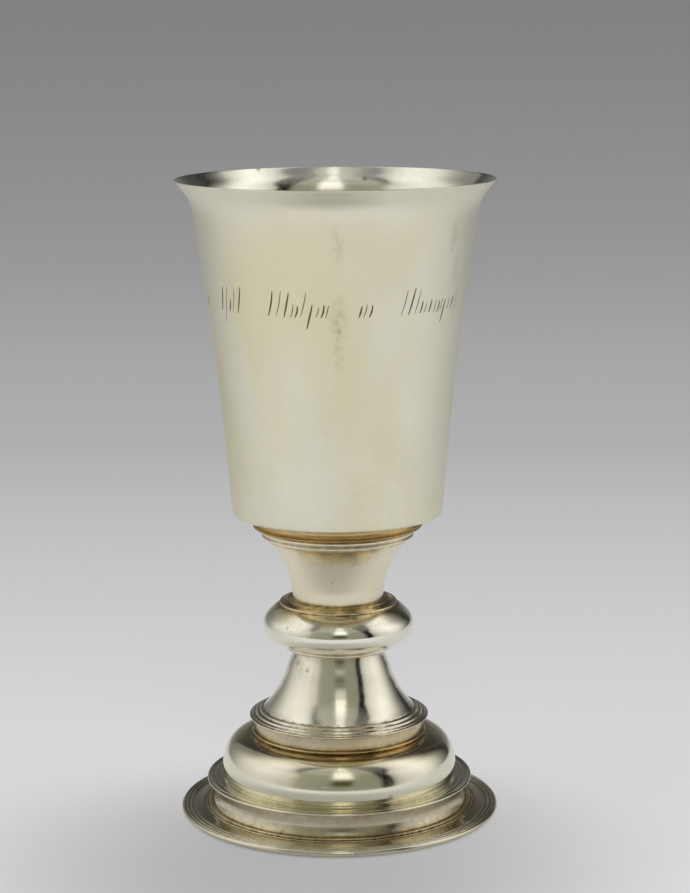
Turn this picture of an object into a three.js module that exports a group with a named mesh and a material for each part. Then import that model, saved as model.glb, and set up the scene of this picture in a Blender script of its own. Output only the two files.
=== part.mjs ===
// Communion cup of silver, gilded in its hollows: a tall flaring bowl on a hollow turned stem
// with a round knop, over a stepped foot. Eight raised and turned pieces are soldered in a stack,
// and every one is a hollow ring round the same upright axis.
// Millimetres, +Z up. The origin is the middle of the foot, on the surface that it stands on.

import * as THREE from 'three';

// Flats round every turned piece
const FLATS = 36;

// Thickness of the silver
const BOWL_WALL = 0.9;
const SHEET = 0.95;

// How far a fine lip, reed or fillet is drawn in where it meets its neighbour, as a share of its height
const EASE = 0.4;

// Foot base: a wide flange with a rounded edge, two grooves and a hollow-sided drum
const FOOT_R = 61.7;
const FOOT_EDGE_H = 2.2;
const FOOT_EDGE_ROUND = 0.9;
const FOOT_RIM_W = 3.6;
const FOOT_GROOVES_IN = [1.7, 4.5];
const FOOT_GROOVE_W = 0.7;
const FOOT_GROOVE_D = 0.3;
const BASE_DRUM_BEAD_W = 1.8;
const FOOT_FIELD_RISE = 0.9;
const BASE_DRUM_BEAD_H = 0.9;
const BASE_DRUM_R = 49.1;
const BASE_DRUM_PULL = [1.56, 0.3];
const BASE_DRUM_TOP_R = 48.2;
const BASE_H = 12.2;

// Foot dome: a cushion moulding that spreads into a thin flat flange
const DOME_H = 18.3;
const DOME_R = 45.4;
const DOME_TOP_R = 33.5;
const DOME_SPRING_R = 43.9;
const DOME_WIDEST_H = 5.1;
const DOME_FULLNESS = 2.2;
const DOME_FLANGE_R = 51.35;
const DOME_FLANGE_LIP_W = 0.9;
const DOME_FLANGE_LIP_RISE = 0.2;
const DOME_FLANGE_T = 0.8;

// Foot drum: the plain gilded band with a fillet at its lower edge
const DRUM_H = 6.4;
const DRUM_R = 32.4;
const DRUM_FILLET_R = 33.6;
const DRUM_FILLET_H = 1.3;

// Lower stem: a trumpet that ends in a reeded, sloping flange
const LOWER_STEM_H = 27.4;
const LOWER_STEM_TOP_R = 17.3;
const TRUMPET_R = 29.0;
const TRUMPET_H = 3.6;
const TRUMPET_PULLS = [[0.376, 0.214], [0.803, 0.63]];
const STEM_FLANGE_R = 34.75;
const STEM_FLANGE_LIP_H = 0.7;
const STEM_GROOVES_IN = [2.15, 4.05];
const STEM_GROOVE_W = 0.6;
const STEM_GROOVE_D = 0.3;

// Knop: a round bulge between a collar below and a fine raised ring above
const KNOP_R = 28.7;
const KNOP_NECK_R = 22.2;
const KNOP_CHEEK_H = 7.2;
const KNOP_FULLNESS = 2;
const KNOP_COLLAR_H = 2.8;
const KNOP_COLLAR_R = 20.3;
const KNOP_COLLAR_TOP_R = 21.6;
const KNOP_RING_R = 22.5;
const KNOP_RING_W = 1.1;
const KNOP_DISH_H = 0.7;
const KNOP_DISH_RISE = 0.5;

// Upper stem: an inverted trumpet under two reeds
const UPPER_STEM_R = 17.5;
const UPPER_FLARE_R = 28.2;
const UPPER_FLARE_H = 24.0;
const UPPER_FLARE_PULLS = [[0, 0.396], [0.439, 0.775]];
const UPPER_REEDS_R = [29.3, 29.8];
const UPPER_REEDS_H = [2.0, 2.4];
const UPPER_REED_D = 0.7;

// Bowl ring: the gilded cove that carries the bowl
const BOWL_RING_H = 5.1;
const BOWL_RING_R = 32.6;
const BOWL_RING_COVE_D = 1.2;
const BOWL_RING_COVE_FLAT = 1.4;
const BOWL_RING_LIP_H = 0.5;
const BOWL_RING_W = 5.2;

// Bowl: flat-bottomed, flaring in one long sweep to a neck and an everted lip
const BOWL_BASE_R = 40.2;
const BOWL_CORNER = 1.0;
const BOWL_NECK_R = 53.6;
const BOWL_NECK_H = 115.2;
const BOWL_SWEEP_PULL = [0.269, 0.461];
const LIP_R = 60.4;
const LIP_H = 12.5;
const LIP_PULL = [0.191, 0.48];

// Heights that follow from the sizes above
const KNOP_MIDDLE_H = KNOP_COLLAR_H + KNOP_CHEEK_H;
const KNOP_H = KNOP_MIDDLE_H + KNOP_CHEEK_H + KNOP_RING_W + KNOP_DISH_H + KNOP_DISH_RISE;
const UPPER_STEM_H = UPPER_REEDS_H.reduce((height, reed) => height + reed, UPPER_FLARE_H);

// Heights of the seats between the pieces, added up from the foot
const DOME_Z = BASE_H;
const DRUM_Z = DOME_Z + DOME_H;
const LOWER_STEM_Z = DRUM_Z + DRUM_H;
const KNOP_Z = LOWER_STEM_Z + LOWER_STEM_H;
const UPPER_STEM_Z = KNOP_Z + KNOP_H;
const BOWL_RING_Z = UPPER_STEM_Z + UPPER_STEM_H;
const BOWL_Z = BOWL_RING_Z + BOWL_RING_H;

// Outline work: every outline is a list of [radius, height] pairs above the piece's own seat

// Points along a bend from `from` to `to`; each pull is its shares of the way in radius and in height
function bend(from, pulls, to, steps) {
  const pulled = pulls.map(([r, h]) => [from[0] + (to[0] - from[0]) * r, from[1] + (to[1] - from[1]) * h]);
  const [a, b, c, d] = [from, ...pulled, to].map(([r, h]) => new THREE.Vector2(r, h));
  const curve = d ? new THREE.CubicBezierCurve(a, b, c, d) : new THREE.QuadraticBezierCurve(a, b, c);
  return curve.getPoints(steps).map((p) => [p.x, p.y]);
}

// Points along a rounded bulge round [r, h], from angle `start` to `end` in quarter turns
function bulge([r, h], width, height, fullness, start, end, steps) {
  const power = (v) => Math.sign(v) * Math.abs(v) ** (2 / fullness);
  return Array.from({ length: steps + 1 }, (_, i) => {
    const turn = (start + (end - start) * (i / steps)) * (Math.PI / 2);
    return [r + width * power(Math.cos(turn)), h + height * power(Math.sin(turn))];
  });
}

// The three points of a V groove across a slope, the outer one first
function groove(middle, width, depth, heightAt) {
  return [
    [middle + width / 2, heightAt(middle + width / 2)],
    [middle, heightAt(middle) - depth],
    [middle - width / 2, heightAt(middle - width / 2)],
  ];
}

// The same points moved inwards by the sheet's thickness
function offset(points, inwards) {
  return points.map(([r, h]) => [r - inwards, h]);
}

// A solid of revolution from an outline that runs up the outside and down the inside
function turned(name, seat, outline, closed, look) {
  const points = outline.map(([r, h]) => new THREE.Vector2(r, h));
  if (closed) points.push(points[0].clone());
  const geometry = new THREE.LatheGeometry(points, FLATS);
  geometry.rotateX(Math.PI / 2);
  const mesh = new THREE.Mesh(geometry, new THREE.MeshStandardMaterial({ metalness: 1, ...look }));
  mesh.name = name;
  mesh.position.z = seat;
  return mesh;
}

// Finishes: satin silver-gilt above, whiter polished silver below, gold where hands don't reach
const SATIN = { color: 0xbfb99f, roughness: 0.42 };
const POLISHED = { color: 0xc4c1ab, roughness: 0.2 };
const GILT = { color: 0x8f7a45, roughness: 0.34 };

function footBase() {
  const fieldInner = BASE_DRUM_R + BASE_DRUM_BEAD_W;
  const fieldOuter = FOOT_R - FOOT_GROOVES_IN.at(-1);
  const slope = FOOT_FIELD_RISE / (fieldOuter - fieldInner);
  const flangeTop = (r) => FOOT_EDGE_H + slope * Math.max(0, fieldOuter - r);
  const rimInner = FOOT_R - FOOT_RIM_W;
  const edgeEase = FOOT_EDGE_H * (1 - EASE) / 2;
  const beadTop = flangeTop(fieldInner) + BASE_DRUM_BEAD_H;
  const drum = bend([BASE_DRUM_R, beadTop], [BASE_DRUM_PULL], [BASE_DRUM_TOP_R, BASE_H], 3);
  return [
    [rimInner, 0],
    [FOOT_R - FOOT_EDGE_ROUND, 0],
    [FOOT_R, edgeEase],
    [FOOT_R, FOOT_EDGE_H - edgeEase],
    ...FOOT_GROOVES_IN.flatMap((inset) => groove(FOOT_R - inset, FOOT_GROOVE_W, FOOT_GROOVE_D, flangeTop)),
    [fieldInner, flangeTop(fieldInner)],
    [BASE_DRUM_R + BASE_DRUM_BEAD_W / 2, beadTop - BASE_DRUM_BEAD_H * EASE / 2],
    ...drum,
    ...offset([drum[3], drum[1], drum[0]], SHEET),
    [fieldInner, flangeTop(fieldInner) - SHEET],
    [rimInner, FOOT_EDGE_H - SHEET],
  ];
}

function footDome() {
  const flangeTop = DOME_FLANGE_T;
  const lipTop = flangeTop + DOME_FLANGE_LIP_RISE;
  const widest = [DOME_TOP_R, DOME_WIDEST_H];
  const width = DOME_R - DOME_TOP_R;
  const height = DOME_H - DOME_WIDEST_H;
  const inside = bulge(widest, width - SHEET, height - SHEET, DOME_FULLNESS, 1, 0, 4);
  return [
    [DOME_SPRING_R - SHEET, 0],
    [DOME_FLANGE_R, 0],
    [DOME_FLANGE_R, lipTop],
    [DOME_FLANGE_R - DOME_FLANGE_LIP_W, lipTop],
    [DOME_FLANGE_R - 2 * DOME_FLANGE_LIP_W, flangeTop],
    [DOME_SPRING_R, flangeTop],
    ...bulge(widest, width, height, DOME_FULLNESS, 0, 1, 7),
    [DRUM_R - SHEET, DOME_H],
    [DRUM_R - SHEET, DOME_H - SHEET],
    ...inside,
  ];
}

function footDrum() {
  const filletEase = DRUM_FILLET_H * (1 - EASE) / 2;
  return [
    [DRUM_R - SHEET, 0],
    [DRUM_FILLET_R - filletEase, 0],
    [DRUM_FILLET_R, filletEase],
    [DRUM_FILLET_R, DRUM_FILLET_H - filletEase],
    [DRUM_R, DRUM_FILLET_H],
    [DRUM_R, DRUM_H],
    [DRUM_R - SHEET, DRUM_H],
  ];
}

function lowerStem() {
  const slope = (TRUMPET_H - STEM_FLANGE_LIP_H) / (STEM_FLANGE_R - TRUMPET_R);
  const flangeTop = (r) => TRUMPET_H - (r - TRUMPET_R) * slope;
  const trumpet = bend([TRUMPET_R, TRUMPET_H], TRUMPET_PULLS, [LOWER_STEM_TOP_R, LOWER_STEM_H], 7);
  return [
    [DRUM_R - SHEET, 0],
    [STEM_FLANGE_R - STEM_FLANGE_LIP_H * EASE, 0],
    [STEM_FLANGE_R, STEM_FLANGE_LIP_H * EASE],
    ...STEM_GROOVES_IN.flatMap((inset) => groove(STEM_FLANGE_R - inset, STEM_GROOVE_W, STEM_GROOVE_D,
      flangeTop)),
    ...trumpet,
    ...offset([trumpet[7], trumpet[4], trumpet[2], trumpet[0]], SHEET),
  ];
}

function knop() {
  const width = KNOP_R - KNOP_NECK_R;
  const middle = [KNOP_NECK_R, KNOP_MIDDLE_H];
  const ringFoot = KNOP_MIDDLE_H + KNOP_CHEEK_H;
  const collarTop = KNOP_MIDDLE_H - KNOP_CHEEK_H;
  const boreTop = UPPER_STEM_R - SHEET;
  const boreFoot = LOWER_STEM_TOP_R - SHEET;
  return [
    [boreFoot, 0],
    [KNOP_COLLAR_R, 0],
    [KNOP_COLLAR_TOP_R, collarTop],
    ...bulge(middle, width, KNOP_CHEEK_H, KNOP_FULLNESS, -1, 1, 8),
    [KNOP_RING_R, ringFoot + KNOP_RING_W * EASE],
    [KNOP_RING_R - KNOP_RING_W * EASE, ringFoot + KNOP_RING_W],
    [KNOP_RING_R - 2 * KNOP_RING_W, KNOP_H - KNOP_DISH_RISE],
    [UPPER_STEM_R, KNOP_H],
    [boreTop, KNOP_H],
    [boreTop, ringFoot - SHEET],
    ...bulge(middle, width - SHEET, KNOP_CHEEK_H - SHEET, KNOP_FULLNESS, 1, -1, 4),
    [boreFoot, collarTop + SHEET],
  ];
}

function upperStem() {
  const flare = bend([UPPER_STEM_R, 0], UPPER_FLARE_PULLS, [UPPER_FLARE_R, UPPER_FLARE_H], 6);
  const reeds = [];
  let foot = UPPER_FLARE_H;
  UPPER_REEDS_R.forEach((r, i) => {
    const top = foot + UPPER_REEDS_H[i];
    reeds.push([r - UPPER_REED_D, foot], [r, foot + UPPER_REED_D], [r, top - UPPER_REED_D]);
    foot = top;
  });
  return [
    [UPPER_STEM_R - SHEET, 0],
    ...flare.slice(0, -1),
    ...reeds,
    [UPPER_REEDS_R.at(-1) - UPPER_REED_D, UPPER_STEM_H],
    [UPPER_FLARE_R - SHEET, UPPER_STEM_H],
    ...offset([flare[6], flare[4], flare[2]], SHEET),
  ];
}

function bowlRing() {
  const boreR = BOWL_RING_R - BOWL_RING_W;
  const lipInner = BOWL_RING_R - BOWL_RING_LIP_H * EASE;
  const coveTurn = [BOWL_RING_R - BOWL_RING_COVE_D, BOWL_RING_H / 2];
  const cove = [
    [BOWL_RING_R, BOWL_RING_LIP_H],
    [coveTurn[0], coveTurn[1] - BOWL_RING_COVE_FLAT / 2],
    [coveTurn[0], coveTurn[1] + BOWL_RING_COVE_FLAT / 2],
    [BOWL_RING_R, BOWL_RING_H - BOWL_RING_LIP_H],
  ];
  return [
    [boreR, 0],
    [lipInner, 0],
    ...cove,
    [lipInner, BOWL_RING_H],
    [boreR, BOWL_RING_H],
  ];
}

function bowl() {
  const side = bend([BOWL_BASE_R, BOWL_CORNER], [BOWL_SWEEP_PULL], [BOWL_NECK_R, BOWL_NECK_H], 4);
  const lip = bend([BOWL_NECK_R, BOWL_NECK_H], [LIP_PULL], [LIP_R, BOWL_NECK_H + LIP_H], 4);
  return [
    [0, 0],
    [BOWL_BASE_R - BOWL_CORNER, 0],
    ...side,
    ...lip.slice(1),
    ...offset([lip[4], lip[2], lip[0], side[3], side[2], side[1]], BOWL_WALL),
    [BOWL_BASE_R - BOWL_WALL, BOWL_WALL + BOWL_CORNER],
    [BOWL_BASE_R - BOWL_WALL - BOWL_CORNER, BOWL_WALL],
    [0, BOWL_WALL],
  ];
}

const cup = new THREE.Group();
cup.add(
  turned('foot_base', 0, footBase(), true, POLISHED),
  turned('foot_dome', DOME_Z, footDome(), true, POLISHED),
  turned('foot_drum', DRUM_Z, footDrum(), true, GILT),
  turned('lower_stem', LOWER_STEM_Z, lowerStem(), true, POLISHED),
  turned('knop', KNOP_Z, knop(), true, POLISHED),
  turned('upper_stem', UPPER_STEM_Z, upperStem(), true, SATIN),
  turned('bowl_ring', BOWL_RING_Z, bowlRing(), true, GILT),
  turned('bowl', BOWL_Z, bowl(), false, SATIN),
);

export default cup;
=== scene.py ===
# Communion cup of old silver-gilt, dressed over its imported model. Metres, +Z up, the foot's middle
# on the table at the origin. The sections follow the cup as it is put together, from the foot up.

import math

import bpy
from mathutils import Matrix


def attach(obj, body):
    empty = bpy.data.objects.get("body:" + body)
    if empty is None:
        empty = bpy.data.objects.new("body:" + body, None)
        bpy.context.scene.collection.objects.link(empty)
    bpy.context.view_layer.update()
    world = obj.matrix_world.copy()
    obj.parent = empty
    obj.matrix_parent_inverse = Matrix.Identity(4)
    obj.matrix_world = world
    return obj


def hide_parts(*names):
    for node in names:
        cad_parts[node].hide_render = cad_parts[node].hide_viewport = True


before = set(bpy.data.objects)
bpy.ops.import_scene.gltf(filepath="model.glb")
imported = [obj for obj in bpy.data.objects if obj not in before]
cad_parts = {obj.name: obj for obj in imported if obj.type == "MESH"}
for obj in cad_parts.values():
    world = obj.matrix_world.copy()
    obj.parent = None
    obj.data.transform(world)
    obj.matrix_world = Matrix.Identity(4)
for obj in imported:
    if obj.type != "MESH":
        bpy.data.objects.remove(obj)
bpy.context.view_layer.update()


# Foot base: a wide reeded flange under a low hollow-sided drum, hammered and turned from one sheet
# of silver. It stands on its flat rim and carries the dome. Most of its gold is worn to grey silver.

def through(points, steps):
    """A smooth line through measured points of [radius, height] in millimetres."""
    line = []
    ends = [points[0]] + list(points) + [points[-1]]
    for a, b, c, d in zip(ends, ends[1:], ends[2:], ends[3:]):
        for i in range(steps):
            t = i / steps
            line.append([
                b[k] + 0.5 * t * ((c[k] - a[k]) + t * ((2 * a[k] - 5 * b[k] + 4 * c[k] - d[k])
                                                       + t * (3 * (b[k] - c[k]) + d[k] - a[k])))
                for k in (0, 1)])
    return line + [list(points[-1])]


def bead(radius, height, size, start, end, steps):
    """Points round a reed's section, from angle start to end in degrees, 0 facing outwards."""
    turns = [math.radians(start + (end - start) * i / steps) for i in range(steps + 1)]
    return [[radius + size * math.cos(t), height + size * math.sin(t)] for t in turns]


def turned_piece(name, outline, steps=256):
    """Draws an outline of [radius, height] in millimetres by extruding a point, then spins it round Z."""
    bpy.ops.object.select_all(action="DESELECT")
    start = outline[0]
    bpy.ops.mesh.primitive_plane_add(size=0.001, location=(start[0] / 1000, 0, start[1] / 1000))
    bpy.ops.object.mode_set(mode="EDIT")
    bpy.ops.mesh.select_all(action="SELECT")
    bpy.ops.mesh.merge(type="CENTER")
    for (r0, z0), (r1, z1) in zip(outline, outline[1:]):
        bpy.ops.mesh.extrude_vertices_move(
            TRANSFORM_OT_translate={"value": ((r1 - r0) / 1000, 0, (z1 - z0) / 1000)})
    bpy.ops.mesh.select_all(action="SELECT")
    bpy.ops.mesh.spin(steps=steps, angle=2 * math.pi, center=(0, 0, 0), axis=(0, 0, 1))
    bpy.ops.mesh.select_all(action="SELECT")
    bpy.ops.mesh.remove_doubles(threshold=0.000004)
    bpy.ops.mesh.normals_make_consistent(inside=False)
    bpy.ops.object.mode_set(mode="OBJECT")
    bpy.ops.object.transform_apply(location=True, rotation=True, scale=True)
    bpy.ops.object.shade_smooth_by_angle(angle=math.radians(38))
    piece = bpy.context.object
    piece.name = name
    return piece


def node_tools(tree):
    """Two tools for a node tree: add makes any node, and reckon one that does sums and returns its output."""

    def add(kind, links=None, **values):
        node = tree.nodes.new("ShaderNode" + kind)
        for key, value in values.items():
            if hasattr(node, key):
                setattr(node, key, value)
            else:
                node.inputs[key.replace("_", " ")].default_value = value
        for key, source in (links or {}).items():
            tree.links.new(source, node.inputs[key])
        return node

    def reckon(operation, *terms, clamp=False):
        node = add("Math", operation=operation, use_clamp=clamp)
        for socket, term in zip(node.inputs, terms):
            if isinstance(term, (int, float)):
                socket.default_value = term
            else:
                tree.links.new(term, socket)
        return node.outputs[0]

    return add, reckon


def set_stops(ramp, low, high, tones):
    """Gives a colour ramp from low to high its stops, each (place, grey) or (place, red, green, blue)."""
    stops = ramp.color_ramp.elements
    while len(stops) < len(tones):
        stops.new(0.5)
    for stop, (at, *tone) in zip(stops, tones):
        stop.position = (at - low) / (high - low)
        stop.color = (*tone, 1) if len(tone) == 3 else (*tone * 3, 1)


def new_finish(name):
    """A new finish: the material, its metal and the two tools for its nodes."""
    material = bpy.data.materials.new(name)
    material.use_nodes = True
    metal = material.node_tree.nodes["Principled BSDF"]
    metal.inputs["Metallic"].default_value = 1.0
    return (material, metal, *node_tools(material.node_tree))


def worn_silver(name, silver, gold, roughness, gold_at, tarnish_and_shade_at, grime_in=None, turning=0.35,
                wear=0.5, hammer=1.0, specks=0.5, marks=(), drawn_out=1.0):
    """Silver-gilt, hammered and turned, worn by hands and cloths.

    silver and gold are the two metals' colours. gold_at gives how much gold is left at each height in
    millimetres, and tarnish_and_shade_at how much brown is laid on there: tarnishing in the creases and
    painted shade on bands under an overhang. grime_in adds tarnished brown at each radius. marks are
    single brown spots, each its place and reach in millimetres and its strength: most are tarnished
    spots, and those down the front middle and right front of the bowl are painted dark reflections.
    Marks and gilding are drawn_out up and down. wear is how patchy the gilding is, turning the
    strength of the lathe lines, hammer that of the slow waves, and specks that of the pinpricks.
    """
    material, metal, add, reckon = new_finish(name)
    link = material.node_tree.links.new
    # One brown serves for tarnishing and for painted shade alike
    tarnish_and_shade_brown = (0.16, 0.105, 0.055, 1)
    lathe_depth, wave_depth, scratch_depth, pit_depth = 0.0000035, 0.00006, 0.000006, 0.00003

    place = add("TexCoord").outputs["Object"]
    axes = add("SeparateXYZ", {"Vector": place})
    flat = add("CombineXYZ", {"X": axes.outputs["X"], "Y": axes.outputs["Y"]})
    radius = add("VectorMath", {0: flat.outputs[0]}, operation="LENGTH").outputs["Value"]
    section = add("CombineXYZ", {"X": radius, "Y": axes.outputs["Z"]})

    def share(amounts, measure=axes.outputs["Z"]):
        low, high = amounts[0][0], amounts[-1][0]
        along = add("MapRange", {"Value": measure}, From_Min=low / 1000, From_Max=high / 1000)
        ramp = add("ValToRGB", {"Fac": along.outputs["Result"]})
        set_stops(ramp, low, high, amounts)
        return ramp.outputs["Color"]

    def patches(scale, detail, low, high, stretch=(1, 1, 1), turn=(0, 0, 0), source=place):
        placed = add("Mapping", {"Vector": source}, Scale=stretch,
                     Rotation=[math.radians(angle) for angle in turn])
        noise = add("TexNoise", {"Vector": placed.outputs[0]}, Scale=scale, Detail=detail)
        spread = add("MapRange", {"Value": noise.outputs["Fac"]}, From_Min=low, From_Max=high)
        return spread.outputs["Result"]

    # Gold left where no hand rubs, thinned in soft patches
    thin = reckon("SUBTRACT", patches(26, 3, 0.35, 0.65, stretch=(1, 1, 1 / drawn_out)), 0.5)
    gilded = reckon("ADD", share(gold_at), reckon("MULTIPLY", thin, wear), clamp=True)
    gilded = reckon("MULTIPLY", gilded, reckon("ADD", share(gold_at), 0.12), clamp=True)
    colour = add("MixRGB", {"Fac": gilded}, Color1=(*silver, 1), Color2=(*gold, 1))

    # Brown laid on by height and radius, tarnishing in the creases and painted shade under overhangs,
    # broken up by fine spots, and single marks, some of them painted dark reflections
    spots = patches(420, 4, 0.42, 0.62)
    crease = share(tarnish_and_shade_at)
    if grime_in:
        crease = reckon("ADD", crease, share(grime_in, radius), clamp=True)
    mottled = reckon("ADD", reckon("MULTIPLY", spots, 0.6),
                     reckon("MULTIPLY", patches(60, 2, 0.4, 0.6), 0.55))
    tarnish_and_shade = reckon("MULTIPLY", crease, mottled, clamp=True)
    squashed = add("Mapping", {"Vector": place}, Scale=(1, 1, 1 / drawn_out))
    speckled = reckon("ADD", reckon("MULTIPLY", spots, 0.8), 0.35)
    for x, y, z, reach, strength in marks:
        away = add("VectorMath", {0: squashed.outputs[0]}, operation="DISTANCE")
        away.inputs[1].default_value = (x / 1000, y / 1000, z / drawn_out / 1000)
        near = add("MapRange", {"Value": away.outputs["Value"]}, From_Min=reach / 1000, From_Max=0)
        mark = reckon("MULTIPLY", near.outputs["Result"], speckled)
        tarnish_and_shade = reckon("ADD", tarnish_and_shade, reckon("MULTIPLY", mark, strength), clamp=True)
    pinpricks = reckon("MULTIPLY", patches(900, 2, 0.735, 0.77), specks)
    tarnish_and_shade = reckon("ADD", tarnish_and_shade, pinpricks, clamp=True)
    dull = add("MixRGB", {"Fac": tarnish_and_shade, "Color1": colour.outputs[0]}, Color2=tarnish_and_shade_brown)
    link(dull.outputs[0], metal.inputs["Base Color"])

    # Polish: clouded by handling, duller wherever the brown is laid on, on tarnished parts and painted shade
    # alike
    clouds = reckon("MULTIPLY", patches(38, 5, 0.25, 0.75), 0.09)
    polish = reckon("ADD", clouds, roughness - 0.045)
    polish = reckon("ADD", polish, reckon("MULTIPLY", tarnish_and_shade, 0.3), clamp=True)
    link(polish, metal.inputs["Roughness"])

    # Surface: lathe lines round the axis, slow waves from the hammer, hair scratches and pits
    lines = patches(1500, 3, 0.3, 0.7, source=section.outputs[0])
    waves = patches(55, 1, 0.2, 0.8)
    scratches = reckon("ADD", patches(1, 1, 0.63, 0.7, stretch=(1800, 1800, 45), turn=(24, 12, 0)),
                       patches(1, 1, 0.66, 0.74, stretch=(60, 1500, 1500), turn=(0, 35, 20)))
    pits = patches(700, 1, 0.74, 0.8)
    relief = reckon("MULTIPLY", lines, lathe_depth * turning)
    relief = reckon("ADD", relief, reckon("MULTIPLY", waves, wave_depth * hammer))
    relief = reckon("SUBTRACT", relief, reckon("MULTIPLY", scratches, scratch_depth))
    relief = reckon("SUBTRACT", relief, reckon("MULTIPLY", pits, pit_depth * specks))
    bump = add("Bump", {"Height": relief}, Distance=1.0, Strength=1.0)
    link(bump.outputs[0], metal.inputs["Normal"])
    return material


foot_base_outline = (
    [[58.1, 0.0], [60.7, 0.0]]
    + bead(60.6, 1.12, 1.1, -80, 70, 10)
    + [[60.75, 2.05], [60.5, 1.75], [60.2, 1.75]]
    + bead(59.65, 1.7, 0.52, 20, 150, 8)
    + [[59.1, 1.72], [58.85, 1.72]]
    + bead(58.3, 1.7, 0.52, 20, 150, 8)
    + [[57.75, 1.7], [57.45, 1.62], [57.15, 1.7]]
    + bead(56.75, 1.72, 0.4, 30, 120, 5)
    + through([[56.4, 2.06], [54.8, 2.3], [53.2, 2.6]], 3)
    + [[52.7, 2.66], [52.45, 2.36], [52.15, 2.4]]
    + bead(51.75, 2.5, 0.42, 20, 150, 6)
    + [[51.3, 2.6], [51.15, 2.72]]
    + bead(50.5, 3.0, 0.72, -5, 115, 9)
    + [[50.0, 3.55], [49.55, 3.5], [49.25, 3.65]]
    + through([[49.1, 4.1], [48.4, 5.6], [47.95, 7.6], [47.95, 9.6], [48.2, 12.2]], 5)
    + [[47.25, 12.2]]
    + through([[47.0, 9.0], [47.2, 6.4], [48.0, 4.1], [49.4, 2.5], [51.4, 1.6], [54.0, 1.2],
               [57.2, 0.9]], 3)
    + [[58.1, 0.8], [58.1, 0.0]])
foot_base = turned_piece("foot_base_turned", foot_base_outline)
foot_base.data.materials.append(worn_silver(
    "foot_base_silver", (0.70, 0.665, 0.52), (0.59, 0.46, 0.24), 0.17,
    # Under the dome's flange, 9 to 12.2 mm up, the brown and part of the gold are painted shade
    gold_at=[(0, 0.1), (1.9, 0.2), (2.6, 0.6), (3.4, 0.9), (5, 0.5), (8, 0.35), (11, 0.5),
             (12.2, 0.9)],
    tarnish_and_shade_at=[(0, 0.2), (1.4, 0.0), (4.2, 0.0), (5, 0.1), (9, 0.08), (11.4, 0.25), (12.2, 0.9)],
    grime_in=[(48.3, 0.1), (49.3, 0.5), (49.7, 0.95), (50.1, 0.3), (50.8, 0.1), (51.3, 0.9),
              (51.7, 0.1), (52.4, 0.8), (52.9, 0.1), (54.5, 0.0), (56.6, 0.0), (57.4, 0.8),
              (57.8, 0.2), (58.3, 0.0), (58.95, 0.7), (59.6, 0.0), (60.35, 0.7), (60.75, 0.0),
              (61.7, 0.0)],
    turning=0.4,
    marks=[(6.4, -61.3, 1.6, 1.1, 1.0), (26.1, -55.9, 1.4, 1.0, 1.0), (-22, -45, 3.4, 1.6, 1.0)]))
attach(foot_base, "root")
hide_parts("foot_base")


# Foot dome: a cushion raised from sheet, with a thin flat flange turned down over the drum below.
# Polished silver, golden and brown only in the creases at its top and bottom.

foot_dome_outline = (
    [[43.0, 12.2], [51.0, 12.2]]
    + bead(51.0, 12.65, 0.42, -80, 85, 8)
    + [[50.7, 13.1], [50.45, 12.92], [49.2, 12.93], [49.0, 12.89], [48.8, 12.94], [47.2, 12.96],
       [47.0, 12.92], [46.8, 12.97], [45.0, 13.0]]
    + through([[44.15, 13.02], [44.0, 13.2], [44.35, 13.75], [44.95, 14.5], [45.3, 15.6], [45.4, 17.2],
               [45.35, 19.0], [45.05, 21.0], [44.5, 23.2], [43.6, 25.2], [42.2, 27.1], [40.3, 28.6],
               [38.0, 29.6], [35.6, 30.15], [33.9, 30.25]], 4)
    + [[33.2, 30.5], [31.45, 30.5], [31.45, 29.5]]
    + through([[33.6, 29.4], [37.3, 28.7], [40.2, 27.2], [42.4, 24.6], [43.9, 21.0], [44.4, 17.3],
               [44.0, 15.2], [43.2, 13.6]], 3)
    + [[43.0, 12.2]])
foot_dome = turned_piece("foot_dome_turned", foot_dome_outline)
foot_dome.data.materials.append(worn_silver(
    "foot_dome_silver", (0.83, 0.80, 0.645), (0.64, 0.51, 0.29), 0.115,
    gold_at=[(12.2, 0.4), (13, 0.1), (14.5, 0.03), (17, 0.0), (25, 0.0), (26.8, 0.1), (28.2, 0.55),
             (30.0, 0.75), (30.5, 1.0)],
    tarnish_and_shade_at=[(12.2, 0.1), (13.05, 0.05), (13.4, 0.3), (14.6, 0.16), (16.5, 0.05), (20, 0.0),
              (29.6, 0.05), (30.5, 0.6)],
    grime_in=[(43.6, 0.0), (45.6, 0.0), (46.8, 0.03), (47.0, 0.45), (47.2, 0.03), (48.8, 0.03),
              (49.0, 0.3), (49.2, 0.03), (50.2, 0.03), (50.5, 0.4), (50.8, 0.0), (51.4, 0.0)],
    turning=0.1, specks=0.2,
    marks=[(-39, -22, 14.0, 6.0, 0.15), (-22, -39, 13.8, 7.0, 0.12), (19.2, -41.1, 16.2, 1.6, 0.5)]))
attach(foot_dome, "root")
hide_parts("foot_dome")


# Foot drum: a plain band of silver strip with a half-round fillet soldered at its lower edge.
# It lies deep between the dome and the stem's flange, so it has kept most of its gilding.

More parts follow.
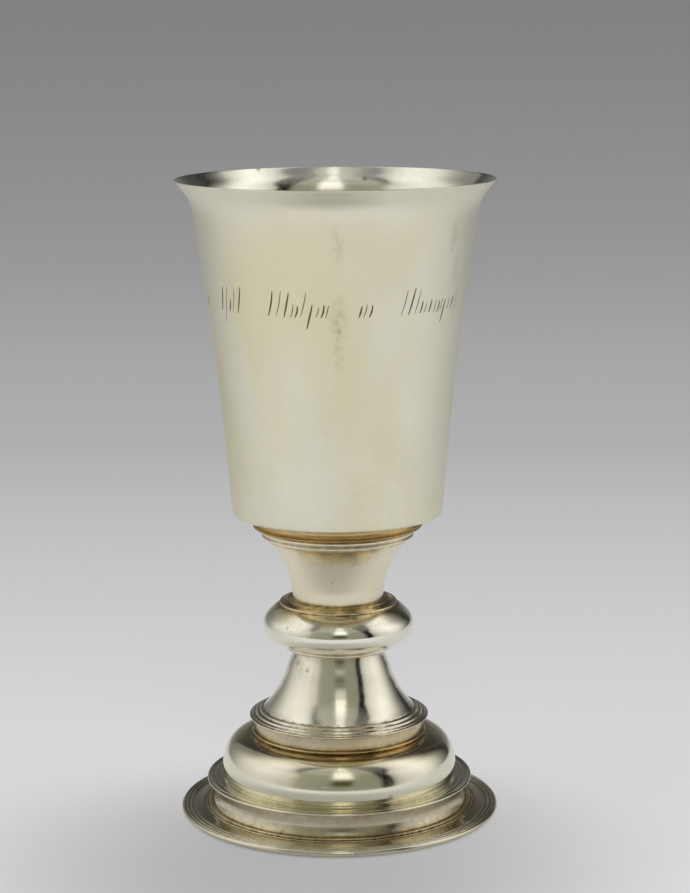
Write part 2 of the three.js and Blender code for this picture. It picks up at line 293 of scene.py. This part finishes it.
foot_drum_outline = (
    [[31.45, 30.5], [33.1, 30.5]]
    + bead(33.05, 31.1, 0.55, -80, 80, 8)
    + [[32.7, 31.75], [32.4, 31.9]]
    + through([[32.4, 32.2], [32.34, 34.4], [32.4, 36.9]], 3)
    + [[31.45, 36.9], [31.45, 30.5]])
foot_drum = turned_piece("foot_drum_turned", foot_drum_outline)
foot_drum.data.materials.append(worn_silver(
    "foot_drum_gilding", (0.66, 0.575, 0.40), (0.57, 0.42, 0.19), 0.17,
    gold_at=[(30.5, 1.0), (31.3, 0.8), (32.2, 0.85), (34, 0.45), (36, 0.6), (36.9, 1.0)],
    tarnish_and_shade_at=[(30.5, 0.7), (31.1, 0.15), (31.9, 0.55), (33, 0.15), (35.6, 0.15), (36.9, 0.8)],
    turning=0.8, wear=1.1))
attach(foot_drum, "root")
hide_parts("foot_drum")


# Lower stem: a trumpet raised from sheet, spreading to a sloping flange with turned reeds.
# Polished silver, pitted near its top on one side, with a little gold left under the knop.

lower_stem_outline = (
    [[31.45, 36.9], [34.45, 36.9]]
    + bead(34.35, 37.28, 0.38, -80, 70, 7)
    + [[34.2, 37.72], [33.95, 37.72], [33.8, 37.85]]
    + bead(33.3, 37.75, 0.42, 30, 110, 5)
    + [[32.75, 38.3], [32.5, 38.3], [32.35, 38.5]]
    + bead(31.75, 38.55, 0.55, 20, 120, 7)
    + [[31.1, 39.15], [30.85, 39.15], [30.7, 39.4]]
    + bead(30.1, 39.5, 0.55, 20, 120, 7)
    + [[29.55, 40.15], [29.3, 40.2]]
    + through([[29.1, 40.5], [27.6, 42.1], [26.1, 44.0], [24.7, 46.0], [23.45, 48.1], [22.4, 50.3],
               [21.15, 53.2], [19.75, 57.1], [18.6, 60.0], [17.75, 62.4], [17.35, 64.3]], 5)
    + [[16.35, 64.3]]
    + through([[16.6, 62.6], [17.7, 59.8], [20.2, 53.0], [22.4, 48.4], [25.2, 43.8], [28.0, 40.5],
               [31.0, 38.0]], 3)
    + [[31.45, 36.9]])
lower_stem = turned_piece("lower_stem_turned", lower_stem_outline)
lower_stem.data.materials.append(worn_silver(
    "lower_stem_silver", (0.85, 0.82, 0.685), (0.72, 0.55, 0.27), 0.13,
    gold_at=[(36.9, 0.45), (38.5, 0.3), (40.3, 0.25), (42, 0.02), (56, 0.0), (61, 0.1), (63.4, 0.4),
             (64.3, 0.9)],
    tarnish_and_shade_at=[(36.9, 0.4), (37.6, 0.05), (39.6, 0.05), (40.4, 0.3), (41.6, 0.0), (60, 0.03),
              (63.3, 0.2), (64.3, 0.9)],
    grime_in=[(28.9, 0.0), (29.4, 0.8), (29.7, 0.1), (30.6, 0.1), (30.85, 0.9), (31.2, 0.1),
              (32.3, 0.1), (32.5, 0.9), (32.9, 0.1), (33.6, 0.1), (33.9, 0.9), (34.3, 0.1),
              (34.8, 0.1)],
    marks=[(-16.6, -7.0, 62.2, 1.6, 1.0), (-14.5, -12.5, 58.0, 4.5, 0.22),
           (-16.0, -11.4, 54.6, 1.2, 0.6), (-15.6, -10.2, 60, 2.2, 0.5),
           (-11.9, -14.9, 58.6, 1.4, 0.6), (1.0, -18.2, 61.4, 2.6, 0.45),
           (0.8, -19.1, 56.5, 2.0, 0.5)]))
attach(lower_stem, "root")
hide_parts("lower_stem")


# Knop: two raised halves soldered round the middle into a plump ring, with a collar below and a
# dished top edged by a fine wire. Polished silver, gilt in the dish and under the wire.

knop_outline = (
    [[16.35, 64.3], [20.2, 64.3]]
    + bead(20.1, 65.2, 0.85, -75, 35, 8)
    + [[20.95, 65.9], [21.3, 66.0]]
    + bead(21.25, 66.55, 0.5, -70, 60, 6)
    + through([[21.7, 67.05], [22.5, 67.1], [24.2, 67.3], [25.9, 67.9], [27.4, 69.0], [28.4, 70.4],
               [28.9, 71.9], [29.05, 73.3], [28.95, 74.5], [28.62, 75.7], [28.05, 76.8],
               [27.25, 77.8], [26.35, 78.75], [25.4, 79.65], [24.4, 80.5], [23.5, 81.15],
               [22.9, 81.5]], 5)
    + [[22.55, 81.6]]
    + bead(22.1, 82.1, 0.5, -60, 100, 9)
    + through([[21.7, 82.55], [21.0, 82.75], [20.2, 83.15]], 3)
    + bead(19.3, 83.15, 0.5, 20, 100, 5)
    + [[18.6, 83.55], [18.3, 83.8], [16.55, 83.8], [16.55, 81.0]]
    + through([[19.5, 80.75], [23.3, 80.3], [25.9, 78.9], [27.4, 76.8], [27.75, 74.3], [27.3, 71.6],
               [25.8, 69.4], [23.2, 68.1], [19.5, 67.7]], 3)
    + [[16.35, 67.4], [16.35, 64.3]])
knop = turned_piece("knop_turned", knop_outline)
knop.data.materials.append(worn_silver(
    "knop_silver", (0.86, 0.835, 0.71), (0.74, 0.57, 0.29), 0.115,
    gold_at=[(64.3, 0.9), (65.4, 0.35), (66.2, 0.7), (67.2, 0.5), (69, 0.03), (77.4, 0.0),
             (78.1, 0.25), (79.8, 0.35), (80.6, 0.6), (83.8, 0.95)],
    tarnish_and_shade_at=[(64.3, 0.8), (65.2, 0.1), (66.0, 0.6), (67.1, 0.5), (68.2, 0.02), (77.3, 0.0),
              (77.9, 0.12), (78.4, 0.1), (80.6, 0.1), (81.6, 0.8), (82.4, 0.2), (83.2, 0.7),
              (83.8, 0.8)],
    turning=0.15, specks=0.3,
    marks=[(-19.2, -20.6, 76.6, 0.9, 1.0), (-17.6, -22.2, 75.6, 0.7, 0.9)]))
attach(knop, "root")
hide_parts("knop")


# Upper stem: a trumpet turned upside down, spreading to two reeds under the bowl's ring.
# Satin silver-gilt with fine turning lines round it.

upper_stem_outline = (
    [[16.55, 83.8], [17.45, 83.8]]
    + through([[17.5, 84.2], [17.6, 86.0], [17.9, 89.0], [18.6, 92.0], [19.55, 95.0], [20.8, 98.0],
               [22.25, 101.0], [24.4, 104.0], [26.1, 105.9], [27.8, 107.4]], 5)
    + [[28.25, 107.7], [28.3, 107.95]]
    + bead(28.45, 108.75, 0.78, -75, 60, 9)
    + [[29.0, 109.6], [28.95, 109.85]]
    + bead(29.0, 110.75, 0.85, -75, 80, 10)
    + [[28.9, 111.7], [29.1, 112.2], [27.25, 112.2]]
    + through([[27.25, 108.4], [26.6, 107.2], [24.9, 105.5], [22.6, 102.8], [19.9, 98.0], [17.7, 92.0],
               [16.8, 87.0], [16.55, 83.8]], 3))
upper_stem = turned_piece("upper_stem_turned", upper_stem_outline)
upper_stem.data.materials.append(worn_silver(
    "upper_stem_satin", (0.86, 0.81, 0.64), (0.80, 0.65, 0.36), 0.27,
    gold_at=[(83.8, 0.7), (85.5, 0.3), (92, 0.25), (103, 0.3), (107.4, 0.55), (109, 0.4), (111, 0.4),
             (112.2, 1.0)],
    tarnish_and_shade_at=[(83.8, 0.7), (85, 0.03), (106.8, 0.03), (107.8, 0.5), (108.6, 0.1), (109.8, 0.5),
              (110.6, 0.1), (112.2, 0.8)],
    turning=1.6, marks=[(-2.0, -19.3, 93.8, 0.8, 1.0)]))
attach(upper_stem, "root")
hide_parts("upper_stem")


# Bowl ring: a small cove of gilded strip soldered under the bowl, out of reach of hands and cloths,
# so its gold is whole. Its dark brown, deepest at its top, is partly its own old gold and partly
# painted shade under the bowl's overhang.

bowl_ring_outline = (
    [[27.4, 112.2], [32.2, 112.2]]
    + bead(32.2, 112.55, 0.33, -80, 80, 6)
    + through([[32.1, 112.95], [31.5, 113.6], [31.25, 114.7], [31.5, 115.8], [32.2, 116.6]], 4)
    + bead(32.2, 116.9, 0.3, -60, 80, 6)
    + [[32.1, 117.3], [27.4, 117.3], [27.4, 112.2]])
bowl_ring = turned_piece("bowl_ring_turned", bowl_ring_outline)
bowl_ring.data.materials.append(worn_silver(
    # Both metals are set dark and browned to the top: partly old gold, partly painted shade under the bowl
    "bowl_ring_gilding", (0.70, 0.55, 0.30), (0.60, 0.40, 0.15), 0.26,
    gold_at=[(112.2, 0.9), (114, 0.8), (117.3, 1.0)],
    tarnish_and_shade_at=[(112.2, 0.6), (112.8, 0.1), (115, 0.15), (117.3, 0.9)],
    turning=0.8))
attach(bowl_ring, "root")
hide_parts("bowl_ring")


# Bowl: a tall beaker raised from one disc of silver, with a flat base and a lip beaten outwards.
# Satin silver-gilt inside and out, rubbed and finely scratched, with an engraved band of strokes.

bowl_side = [[40.5, 120.5], [40.85, 125.0], [41.85, 137.0], [42.95, 149.0], [44.0, 160.5], [45.05, 171.0],
             [46.35, 182.0], [48.0, 194.0], [49.95, 208.0], [51.95, 222.0], [53.1, 229.5], [54.15, 235.0],
             [55.75, 238.8], [58.4, 242.2], [60.3, 244.6]]
bowl_outline = (
    [[0, 117.3], [20, 117.3], [38.6, 117.3]]
    + bead(39.2, 118.3, 1.0, -80, -5, 7)
    + through([[40.24, 118.8]] + bowl_side, 6)
    + bead(60.0, 244.65, 0.34, 10, 110, 7)
    + through([[59.6, 244.7], [57.75, 242.6], [54.95, 239.3], [53.25, 235.2], [52.2, 229.6], [51.05, 222.1],
               [49.05, 208.1], [47.1, 194.1], [45.45, 182.1], [44.15, 171.0], [43.1, 160.6], [42.05, 149.0],
               [40.95, 137.0], [39.95, 125.0], [39.5, 121.0], [38.9, 119.2], [37.6, 118.3]], 5)
    + [[20, 118.2], [0, 118.2]])
bowl = turned_piece("bowl_turned", bowl_outline)


def radius_at(z):
    """The outer radius of the bowl's side at a height, in millimetres."""
    for (r0, z0), (r1, z1) in zip(bowl_side, bowl_side[1:]):
        if z0 <= z <= z1:
            return r0 + (r1 - r0) * (z - z0) / (z1 - z0)


# Heights in millimetres: the common foot of the strokes, their two tops and the end of a tail
stroke_foot, short_top, tall_top, tail_end = 198.6, 203.0, 207.8, 194.4


def engraved_stroke(turn, low, high, lean, sway, width):
    """One cut of the graver: from low to high in millimetres, leaning and swaying as it rises."""
    proud = 0.02
    degrees = 57.3
    points = []
    for i in range(7):
        t = i / 6
        z = low + (high - low) * t
        r = radius_at(z) + proud
        shift = lean * (z - stroke_foot) + sway * math.sin(math.pi * t)
        a = math.radians(turn + shift / r * degrees)
        points.append((r * math.sin(a) / 1000, -r * math.cos(a) / 1000, z / 1000,
                       width * (0.35 + 0.65 * math.sin(math.pi * (0.1 + 0.8 * t)))))
    return points


# Groups of strokes round the bowl: first and last turn in degrees, which are tall, and a seed
groups = [(-78, -75, (), 4), (-59, -44, (0, 1, 3, 4), 3), (-30, -4, (0, 1, 2, 5, 10), 1),
          (10, 17, (), 5), (29, 60, (0, 1, 2), 2), (82, 104, (0, 1, 4), 7),
          (118, 150, (0, 1, 6, 9), 4), (166, 189, (0, 1), 6), (203, 236, (0, 1, 3, 8), 8),
          (250, 271, (0, 1, 5), 9)]
strokes = []
for start, end, tall, seed in groups:
    turn, i = start, 0
    while turn < end:
        if i in tall:
            high = tall_top + 0.5 * math.sin(i * 1.9)
        else:
            high = short_top + 0.4 * math.sin(seed + i * 2.3)
        if (i * 7 + seed) % 11 == 10:
            low = tail_end
        else:
            low = stroke_foot + 0.15 * math.sin(seed * 2 + i)
        strokes.append(engraved_stroke(
            turn, low, high, lean=0.26, sway=0.2 + 0.15 * math.sin(seed + 1.7 * i),
            width=0.36 if (i + seed) % 2 else 0.2))
        turn += 2.5 + 0.6 * math.sin(seed + i * 1.3) + (0.8 if i in tall else 0)
        i += 1

bpy.ops.object.select_all(action="DESELECT")
bpy.ops.curve.primitive_bezier_curve_add(radius=0.001, location=(0, 0, 0))
graver = bpy.context.object
graver.name = "graver_cuts"
graver.data.splines.clear()
graver.data.dimensions = "3D"
graver.data.bevel_depth = 0.001
graver.data.bevel_resolution = 1
graver.data.use_fill_caps = True
for points in strokes:
    line = graver.data.splines.new("POLY")
    line.points.add(len(points) - 1)
    for point, (x, y, z, width) in zip(line.points, points):
        point.co = (x, y, z, 1)
        point.radius = width
bpy.ops.object.convert(target="MESH")
graver = bpy.context.object
bpy.ops.object.mode_set(mode="EDIT")
bpy.ops.mesh.select_all(action="SELECT")
bpy.ops.mesh.remove_doubles(threshold=0.000001)
bpy.ops.mesh.normals_make_consistent(inside=False)
bpy.ops.object.mode_set(mode="OBJECT")

bpy.ops.object.select_all(action="DESELECT")
bowl.select_set(True)
bpy.context.view_layer.objects.active = bowl
cut = bowl.modifiers.new("engraving", "BOOLEAN")
cut.operation = "DIFFERENCE"
cut.object = graver
cut.solver = "MANIFOLD"
bpy.ops.object.modifier_apply(modifier=cut.name)
bpy.data.objects.remove(graver)
bpy.ops.object.shade_smooth_by_angle(angle=math.radians(30))

bowl.data.materials.clear()
bowl.data.materials.append(worn_silver(
    "bowl_satin", (0.82, 0.793, 0.65), (0.76, 0.72, 0.43), 0.34,
    gold_at=[(117.3, 0.5), (122, 0.35), (150, 0.45), (200, 0.5), (228, 0.35), (238, 0.05), (245, 0.0)],
    tarnish_and_shade_at=[(117.3, 0.5), (118.5, 0.05), (190, 0.02), (240, 0.03), (245, 0.1)],
    turning=0.2, wear=1.5, specks=0.2, drawn_out=3.0,
    # Those down the front middle and at the right front are painted dark reflections, the rest spots
    marks=[(0.9, -52.3, 225, 3.4, 0.14), (0.9, -48.3, 197.0, 4.2, 0.22), (1.3, -48.3, 193.5, 0.9, 0.3),
           (0.8, -46.6, 184.0, 2.8, 0.14), (43.8, -29.6, 226, 3.0, 0.24),
           (44.3, -25.5, 214, 2.8, 0.2), (43.8, -21.4, 202, 3.0, 0.24), (-35, -22.8, 139, 0.7, 0.4),
           (22, -40, 236, 2.0, 0.14), (-19, -36.5, 160, 1.6, 0.12)]))
bowl.data.materials.append(worn_silver(
    "bowl_inside", (0.87, 0.845, 0.74), (0.86, 0.80, 0.60), 0.12,
    gold_at=[(117.3, 0.4), (200, 0.3), (238, 0.1), (245, 0.0)],
    tarnish_and_shade_at=[(117.3, 0.3), (122, 0.05), (240, 0.02), (245, 0.1)],
    turning=0.1, hammer=1.6, specks=0.3,
    marks=[(11.9, 55.4, 240.2, 1.9, 1.9), (-31, 51.6, 244.4, 1.4, 1.2)]))
engraving, metal, add, reckon = new_finish("bowl_engraving")
metal.inputs["Base Color"].default_value = (0.24, 0.20, 0.12, 1)
metal.inputs["Roughness"].default_value = 0.55
grain = add("TexNoise", {"Vector": add("TexCoord").outputs["Object"]}, Scale=2600)
roughen = add("Bump", {"Height": grain.outputs["Fac"]}, Distance=0.00005)
engraving.node_tree.links.new(roughen.outputs[0], metal.inputs["Normal"])
bowl.data.materials.append(engraving)

# The cuts lie just inside the outer face, and the inside starts above the bowl's base
inside_slot, engraving_slot = 1, 2
for face in bowl.data.polygons:
    x, y, z = face.center * 1000
    from_axis = math.hypot(x, y)
    inwards = face.normal.x * x + face.normal.y * y < 0
    if 193 < z < 210 and 0.03 < radius_at(z) - from_axis < 0.6:
        face.material_index = engraving_slot
    elif z > 118 and (inwards or from_axis < 37):
        face.material_index = inside_slot
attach(bowl, "root")
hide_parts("bowl")


# Studio: a pale paper sweep that the cup stands on, in a room of soft light. Two broad soft boxes
# stand either side of the camera, with a dim panel between them and a small box above.

bpy.ops.object.select_all(action="DESELECT")
bpy.ops.mesh.primitive_plane_add(size=1, location=(0, 0.4, -0.0002))
sweep = bpy.context.object
sweep.name = "paper_sweep"
bpy.ops.object.mode_set(mode="EDIT")
bpy.ops.mesh.select_all(action="SELECT")
bpy.ops.transform.resize(value=(3.0, 5.2, 1))
bpy.ops.mesh.select_all(action="DESELECT")
bpy.ops.object.mode_set(mode="OBJECT")
for edge in sweep.data.edges:
    edge.select = all(sweep.data.vertices[v].co.y > 1 for v in edge.vertices)
bpy.ops.object.mode_set(mode="EDIT")
bpy.ops.mesh.extrude_region_move(TRANSFORM_OT_translate={"value": (0, 0, 4)})
bpy.ops.object.mode_set(mode="OBJECT")
bpy.ops.object.transform_apply(location=True, rotation=True, scale=True)
points = sweep.data.vertices
for edge in sweep.data.edges:
    middle = (points[edge.vertices[0]].co + points[edge.vertices[1]].co) / 2
    edge.select = abs(middle.x) < 0.01 and abs(middle.z) < 0.01 and middle.y > 2
bpy.ops.object.mode_set(mode="EDIT")
bpy.ops.mesh.bevel(offset=1.5, segments=24, affect="EDGES")
bpy.ops.object.mode_set(mode="OBJECT")
bpy.ops.object.shade_smooth()

# The paper: darker with distance and height, and with a painted soft shadow round the cup's foot
paper, sheet, add, reckon = new_finish("paper")
sheet.inputs["Metallic"].default_value = 0.0
sheet.inputs["Roughness"].default_value = 0.9
sheet.inputs["Specular IOR Level"].default_value = 0.1
# The paper glows in its own tones too: painted light that lifts it and thins the shadows on it
sheet.inputs["Emission Strength"].default_value = 0.45
place = add("TexCoord").outputs["Object"]
here = add("SeparateXYZ", {"Vector": place})
paper_tones = [(-0.25, 0.83), (0.06, 0.70), (0.33, 0.60), (0.77, 0.44), (1.6, 0.35), (3.0, 0.15)]
green_cast, blue_cast = 1.003, 1.045
near, far = paper_tones[0][0], paper_tones[-1][0]
depth = add("MapRange", {"Value": here.outputs["Y"]}, From_Min=near, From_Max=far)
shade = add("ValToRGB", {"Fac": depth.outputs["Result"]})
set_stops(shade, near, far, [(y, tone, tone * green_cast, tone * blue_cast) for y, tone in paper_tones])
height = add("MapRange", {"Value": here.outputs["Z"]},
             From_Min=0.45, From_Max=1.6, To_Min=1.0, To_Max=0.4)
# Painted shadow: the paper darkens towards a point just in front of the foot
away = add("VectorMath", {0: place}, operation="DISTANCE")
away.inputs[1].default_value = (-0.015, -0.09, 0)
painted_foot_shadow = add("MapRange", {"Value": away.outputs["Value"]}, interpolation_type="SMOOTHSTEP",
                 From_Min=0.02, From_Max=0.17, To_Min=0.6, To_Max=1.0)
both = reckon("MULTIPLY", height.outputs["Result"], painted_foot_shadow.outputs["Result"])
dimmed = add("VectorMath", {0: shade.outputs["Color"], "Scale": both}, operation="SCALE")
paper.node_tree.links.new(dimmed.outputs[0], sheet.inputs["Base Color"])
paper.node_tree.links.new(dimmed.outputs[0], sheet.inputs["Emission Color"])
sweep.data.materials.append(paper)

# The room: how bright it is in each direction, turn to the right of the camera and rise over level
room = bpy.data.worlds.new("studio_room")
bpy.context.scene.world = room
room.use_nodes = True
add, reckon = node_tools(room.node_tree)


def lit_along(angle, tones, low=-180, high=180):
    """How bright the room is along an angle in degrees, from tones of (angle, grey or colour)."""
    spread = add("MapRange", {"Value": angle}, From_Min=math.radians(low), From_Max=math.radians(high))
    ramp = add("ValToRGB", {"Fac": spread.outputs["Result"]})
    set_stops(ramp, low, high, tones)
    return ramp.outputs["Color"]


def lit_by_rise(tones):
    """How bright the room is at each rise in degrees, from straight down to straight up."""
    return lit_along(rise, tones, -90, 90)


def blend(operation, a, b):
    return add("VectorMath", {0: a, 1: b}, operation=operation).outputs[0]


way = add("SeparateXYZ", {"Vector": add("TexCoord").outputs["Generated"]})
turn = reckon("ARCTAN2", way.outputs["X"], reckon("MULTIPLY", way.outputs["Y"], -1.0))
rise = reckon("ARCSINE", way.outputs["Z"])
# The boxes lean outwards as they rise, as upright boxes close to the cup seem to from below
above = reckon("MAXIMUM", reckon("SUBTRACT", rise, math.radians(38)), 0)
lean = reckon("MULTIPLY", above, 0.9)
rightward = reckon("SUBTRACT", turn, lean)
leftward = reckon("ADD", turn, lean)
box_height = lit_by_rise([(-10, 0.6), (3, 0.78), (28, 1.0), (60, 0.95), (74, 0.45), (86, 0.2)])
left_box = blend("MULTIPLY", box_height, lit_along(leftward, [
    (-165, 0.0), (-142, 0.20, 0.20, 0.18), (-112, 0.84, 0.83, 0.80), (-88, 0.98, 0.97, 0.95),
    (-66, 0.88, 0.87, 0.84), (-53, 0.62, 0.61, 0.57), (-42, 0.0)]))
right_box = blend("MULTIPLY", box_height, lit_along(rightward, [
    (53.5, 0.0), (56.5, 0.60, 0.59, 0.56), (67, 0.84, 0.83, 0.81), (92, 1.14, 1.13, 1.10),
    (106, 0.98, 0.97, 0.94), (127, 0.28, 0.28, 0.26), (142, 0.0)]))
panel = blend(
    "MULTIPLY",
    lit_along(turn, [(-58, 0.0), (-44, 0.36, 0.36, 0.29), (-22, 0.32, 0.32, 0.26),
                     (41.5, 0.30, 0.30, 0.245), (44, 0.0)]),
    lit_by_rise([(-10, 0.85), (8, 0.95), (50, 1.0), (62, 0.8)]))
top_box = blend(
    "MULTIPLY",
    lit_along(turn, [(-9, 0.0), (-5, 0.84, 0.83, 0.80), (13, 0.84, 0.83, 0.80), (18, 0.0)]),
    lit_by_rise([(26, 0.0), (32, 0.45), (38, 1.0), (54, 1.0), (62, 0.6), (72, 0.75)]))
ceiling = lit_by_rise([(42, 0.0), (54, 0.13), (66, 0.17), (80, 0.32)])
back_of_room = lit_along(turn, [(-180, 0.17), (-150, 0.12), (-130, 0.0), (138, 0.0), (157, 0.11),
                                (180, 0.17)])
# The camera and its stand shade the panel in the middle
lens_shade = blend(
    "MULTIPLY",
    lit_along(turn, [(-12, 0.0), (-4, 0.22), (10, 0.22), (16, 0.0)]),
    lit_by_rise([(5, 0.0), (10, 1.0), (20, 1.0), (27, 0.0)]))
light = left_box
for source in (right_box, panel, top_box, ceiling, back_of_room):
    light = blend("ADD", light, source)
light = blend("SUBTRACT", light, lens_shade)
glow = room.node_tree.nodes["Background"]
room.node_tree.links.new(light, glow.inputs["Color"])
glow.inputs["Strength"].default_value = 1.0

bpy.ops.object.camera_add(location=(0.0041, -0.9346, 0.3155),
                          rotation=(math.radians(79.522), math.radians(0.355), 0))
camera = bpy.context.object
camera.data.lens = 100.28
camera.data.sensor_width = 36
camera.data.clip_start = 0.01
camera.data.clip_end = 50
bpy.context.scene.camera = camera
bpy.context.scene.view_settings.view_transform = "Standard"
